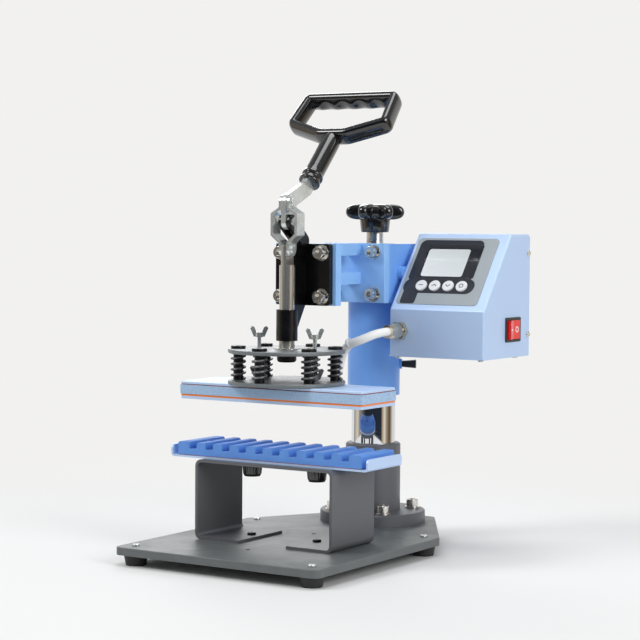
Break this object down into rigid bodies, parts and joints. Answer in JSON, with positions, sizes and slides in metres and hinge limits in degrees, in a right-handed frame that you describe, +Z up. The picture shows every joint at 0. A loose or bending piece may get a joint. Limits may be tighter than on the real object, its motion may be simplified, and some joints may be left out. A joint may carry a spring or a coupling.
{
  "type": "pen heat press",
  "caption": "Bench heat press with a toggle-lever plunger, a spring-loaded heated platen, a grooved pen mould on a stand, a swinging arm on a post and a control box",
  "frame": {"origin": "the point on the surface it stands on, straight under the axis of the plunger", "axes": "+X to the right as seen from the front, +Y back towards the post, +Z up"},
  "size_m": [0.284, 0.3915, 0.4844],
  "materials": {
    "light_blue_coat": "satin powder coat",
    "mid_blue_coat": "satin powder coat",
    "dark_grey_coat": "fine textured powder coat",
    "disc_grey": "satin",
    "black_metal": "satin",
    "chrome": "polished",
    "zinc": "zinc plated",
    "steel": "satin",
    "bronze": "turned",
    "nickel": "nickel plated",
    "aluminium": "ground",
    "black_rubber": "matte",
    "blue_silicone": "satin",
    "red_silicone": "satin",
    "orange_silicone": "satin",
    "black_plastic": "gloss",
    "matte_black_plastic": "matte",
    "grey_film": "satin film",
    "display": "gloss",
    "white_plastic": "gloss",
    "red_plastic": "gloss",
    "green_board": "satin",
    "white_sleeving": "braided"
  },
  "bodies": {
    "base": {"base_plate": "dark_grey_coat", "rubber_feet": "black_rubber", "foot_screws": "black_metal", "post_flange": "dark_grey_coat", "flange_washers": "steel", "flange_bolts": "steel", "post": "chrome", "stand_bracket": "dark_grey_coat", "bracket_screws": "black_metal", "tray": "light_blue_coat", "mould_pad": "red_silicone", "pen_mould": "blue_silicone"},
    "left_tray_knob": {"left_tray_knob": "matte_black_plastic"},
    "right_tray_knob": {"right_tray_knob": "matte_black_plastic"},
    "lift": {"lift_bush": "bronze", "lift_collar": "steel"},
    "height_knob": {"height_spindle": "steel", "height_knob": "black_plastic"},
    "arm": {"arm_sleeve": "mid_blue_coat", "arm_bracket": "light_blue_coat", "arm_washers": "steel", "arm_bolts": "steel", "clamp_frame": "black_metal", "pivot_pin": "zinc", "control_box": "light_blue_coat", "box_cover": "light_blue_coat", "box_screws": "zinc", "panel_overlay": "grey_film", "display_window": "display", "control_board": "green_board", "switch_housing": "matte_black_plastic", "heater_gland": "nickel", "mains_gland": "nickel", "gland_nuts": "nickel", "heater_cable": "white_sleeving"},
    "lock_knob": {"lock_knob": "matte_black_plastic"},
    "rocker": {"rocker": "red_plastic"},
    "button_1": {"button_1": "white_plastic"},
    "button_2": {"button_2": "white_plastic"},
    "button_3": {"button_3": "white_plastic"},
    "button_4": {"button_4": "white_plastic"},
    "lever": {"lever": "zinc", "handle": "black_plastic"},
    "links": {"toggle_links": "zinc", "link_rivets": "zinc"},
    "plunger": {"plunger_rod": "steel", "rod_nut": "steel", "upper_disc": "disc_grey"},
    "upper_left_wing_bolt": {"upper_left_wing_bolt": "zinc"},
    "upper_right_wing_bolt": {"upper_right_wing_bolt": "zinc"},
    "platen": {"lower_disc": "disc_grey", "guide_bolts": "black_metal", "springs": "black_metal", "heat_plate": "light_blue_coat", "platen_gasket": "orange_silicone", "heater_block": "light_blue_coat", "platen_seam": "red_silicone", "platen_cap": "light_blue_coat"},
    "lower_left_wing_bolt": {"lower_left_wing_bolt": "zinc"},
    "lower_right_wing_bolt": {"lower_right_wing_bolt": "zinc"}
  },
  "joints": [
    {"name": "arm_lift", "type": "slide", "parent": "base", "child": "lift", "axis": [0, 0, 1], "range_m": [-0.02, 0.02]},
    {"name": "arm_swing", "type": "hinge", "parent": "lift", "child": "arm", "pos_m": [0, 0.1736, 0], "axis": [0, 0, 1], "range_deg": [-90, 90]},
    {"name": "height_knob_turn", "type": "hinge", "parent": "lift", "child": "height_knob", "pos_m": [0, 0.1736, 0], "axis": [0, 0, 1], "range_deg": [-3600, 3600]},
    {"name": "plunger_slide", "type": "slide", "parent": "arm", "child": "plunger", "axis": [0, 0, -1], "range_m": [0, 0.04], "deforming": ["heater_cable"]},
    {"name": "lever_turn", "type": "hinge", "parent": "arm", "child": "lever", "pos_m": [0, 0, 0.3455], "axis": [1, 0, 0], "range_deg": [0, 180]},
    {"name": "link_turn", "type": "hinge", "parent": "lever", "child": "links", "pos_m": [0, 0, 0.3655], "axis": [1, 0, 0], "range_deg": [-180, 0]},
    {"name": "platen_give", "type": "slide", "parent": "plunger", "child": "platen", "axis": [0, 0, 1], "range_m": [0, 0.008], "stiffness_N_per_m": 12000, "springref_m": -0.004, "deforming": ["springs"]},
    {"name": "left_tray_knob_turn", "type": "hinge", "parent": "base", "child": "left_tray_knob", "pos_m": [-0.0395, -0.003, 0.09], "axis": [0, 0, 1], "continuous": true},
    {"name": "right_tray_knob_turn", "type": "hinge", "parent": "base", "child": "right_tray_knob", "pos_m": [0.0395, -0.003, 0.09], "axis": [0, 0, 1], "continuous": true},
    {"name": "lock_knob_turn", "type": "hinge", "parent": "arm", "child": "lock_knob", "pos_m": [0, 0.1736, 0.1915], "axis": [0.9063, 0.4226, 0], "continuous": true},
    {"name": "upper_left_wing_turn", "type": "hinge", "parent": "plunger", "child": "upper_left_wing_bolt", "pos_m": [-0.034, 0, 0.22], "axis": [0, 0, 1], "continuous": true},
    {"name": "upper_right_wing_turn", "type": "hinge", "parent": "plunger", "child": "upper_right_wing_bolt", "pos_m": [0.034, 0, 0.22], "axis": [0, 0, 1], "continuous": true},
    {"name": "lower_left_wing_turn", "type": "hinge", "parent": "platen", "child": "lower_left_wing_bolt", "pos_m": [-0.034, 0, 0.185], "axis": [0, 0, 1], "continuous": true},
    {"name": "lower_right_wing_turn", "type": "hinge", "parent": "platen", "child": "lower_right_wing_bolt", "pos_m": [0.034, 0, 0.185], "axis": [0, 0, 1], "continuous": true},
    {"name": "rocker_switch", "type": "hinge", "parent": "arm", "child": "rocker", "pos_m": [0.152, 0.195, 0.233], "axis": [0, 0, 1], "range_deg": [-14, 0]},
    {"name": "button_1_press", "type": "slide", "parent": "arm", "child": "button_1", "axis": [0, 0.7952, -0.6063], "range_m": [0, 0.001], "stiffness_N_per_m": 500, "springref_m": -0.0005},
    {"name": "button_2_press", "type": "slide", "parent": "arm", "child": "button_2", "axis": [0, 0.7952, -0.6063], "range_m": [0, 0.001], "stiffness_N_per_m": 500, "springref_m": -0.0005},
    {"name": "button_3_press", "type": "slide", "parent": "arm", "child": "button_3", "axis": [0, 0.7952, -0.6063], "range_m": [0, 0.001], "stiffness_N_per_m": 500, "springref_m": -0.0005},
    {"name": "button_4_press", "type": "slide", "parent": "arm", "child": "button_4", "axis": [0, 0.7952, -0.6063], "range_m": [0, 0.001], "stiffness_N_per_m": 500, "springref_m": -0.0005}
  ],
  "couplings": [
    {"joint": "height_knob_turn", "follows": "arm_lift", "rad_per_m": 3141.6},
    {"joint": "lever_turn", "follows": "plunger_slide", "rad_per_m": 78.539},
    {"joint": "link_turn", "follows": "plunger_slide", "rad_per_m": -78.539}
  ]
}
